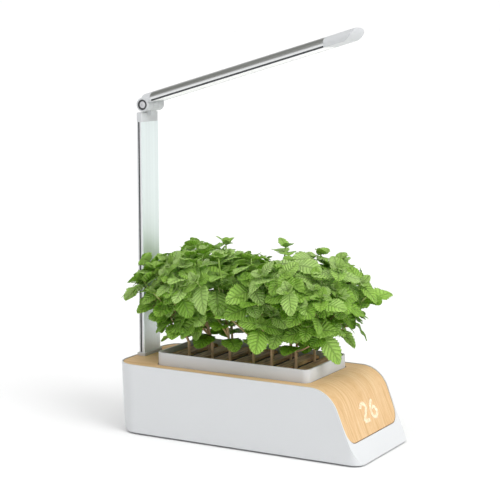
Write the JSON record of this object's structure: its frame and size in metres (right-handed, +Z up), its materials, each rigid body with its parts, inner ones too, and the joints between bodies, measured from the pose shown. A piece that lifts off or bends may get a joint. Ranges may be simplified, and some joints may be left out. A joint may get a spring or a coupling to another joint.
{
  "type": "countertop hydroponic garden",
  "caption": "Countertop hydroponic garden: water body with wood deck and glowing number display, lift-out planting tray of herbs, post and tilting lamp arm.",
  "frame": {"origin": "middle of the centre foot, on the worktop", "axes": "+X towards the display end, +Y across the body to its far side in the picture, +Z up"},
  "size_m": [0.3804, 0.1898, 0.5589],
  "materials": {
    "white_shell": "satin white moulding",
    "maple_veneer": "pale maple, satin lacquer",
    "black_rubber": "matte",
    "steel": "plain",
    "grey_tank": "matte",
    "tray_plastic": "light grey, satin",
    "brown_board": "matte brown",
    "sponge": "open foam",
    "dark_plastic": "matte",
    "green_board": "lacquered board",
    "light_guide": "frosted",
    "led_glow": "emissive",
    "bracket_steel": "zinc grey",
    "post_white": "satin",
    "mirror_panel": "blurred mirror",
    "cable_grey": "ribbon",
    "arm_aluminium": "satin anodised",
    "white_board": "lacquered board",
    "mint_leaf": "fresh leaf"
  },
  "bodies": {
    "base": {"base_pan": "white_shell", "base_screws": "steel", "board_components": "dark_plastic", "board_screws": "steel", "control_board": "green_board", "dc_inlet_jack": "dark_plastic", "dc_inlet_nut": "steel", "display_board": "green_board", "display_leds": "led_glow", "display_light_guide": "light_guide", "float_clip": "dark_plastic", "float_stem": "dark_plastic", "hinge_friction_washers": "dark_plastic", "hinge_yoke": "tray_plastic", "outer_shell": "white_shell", "post_bracket": "bracket_steel", "post_collar": "tray_plastic", "post_front_panel": "mirror_panel", "post_profile": "post_white", "post_ribbon_cable": "cable_grey", "post_side_strips": "dark_plastic", "pump_cover": "dark_plastic", "pump_housing": "dark_plastic", "pump_outlet_tube": "black_rubber", "pump_shaft": "steel", "pump_stops": "black_rubber", "rubber_feet": "black_rubber", "tank_seal": "black_rubber", "water_tank": "grey_tank", "wood_deck": "maple_veneer"},
    "lamp_arm": {"arm_root": "tray_plastic", "hinge_bolt": "steel", "hinge_rings": "dark_plastic", "hinge_nut": "steel", "arm_profile": "arm_aluminium", "led_diffuser": "light_guide", "led_board": "white_board", "led_chips": "led_glow", "arm_end_cap": "tray_plastic"},
    "planting_unit": {"planting_tray": "tray_plastic", "planting_board": "brown_board", "sponge_strips": "sponge", "mint_plant_01": "mint_leaf", "mint_plant_02": "mint_leaf", "mint_plant_03": "mint_leaf", "mint_plant_04": "mint_leaf", "mint_plant_05": "mint_leaf", "mint_plant_06": "mint_leaf", "mint_plant_07": "mint_leaf", "mint_plant_08": "mint_leaf", "mint_plant_09": "mint_leaf", "mint_plant_10": "mint_leaf", "mint_plant_11": "mint_leaf", "mint_plant_12": "mint_leaf"},
    "impeller": {"pump_impeller": "dark_plastic"},
    "float": {"float_ring": "tray_plastic"}
  },
  "joints": [
    {"name": "lamp_arm_tilt", "type": "hinge", "parent": "base", "child": "lamp_arm", "pos_m": [-0.1745, 0, 0.452], "axis": [0, -1, 0], "range_deg": [-30, 70]},
    {"name": "tray_lift", "type": "slide", "parent": "base", "child": "planting_unit", "axis": [0, 0, 1], "range_m": [0, 0.06]},
    {"name": "pump_spin", "type": "hinge", "parent": "base", "child": "impeller", "pos_m": [0.02, 0, 0.02], "axis": [0, 0, 1], "continuous": true},
    {"name": "float_rise", "type": "slide", "parent": "base", "child": "float", "axis": [0, 0, 1], "range_m": [0, 0.022]}
  ]
}
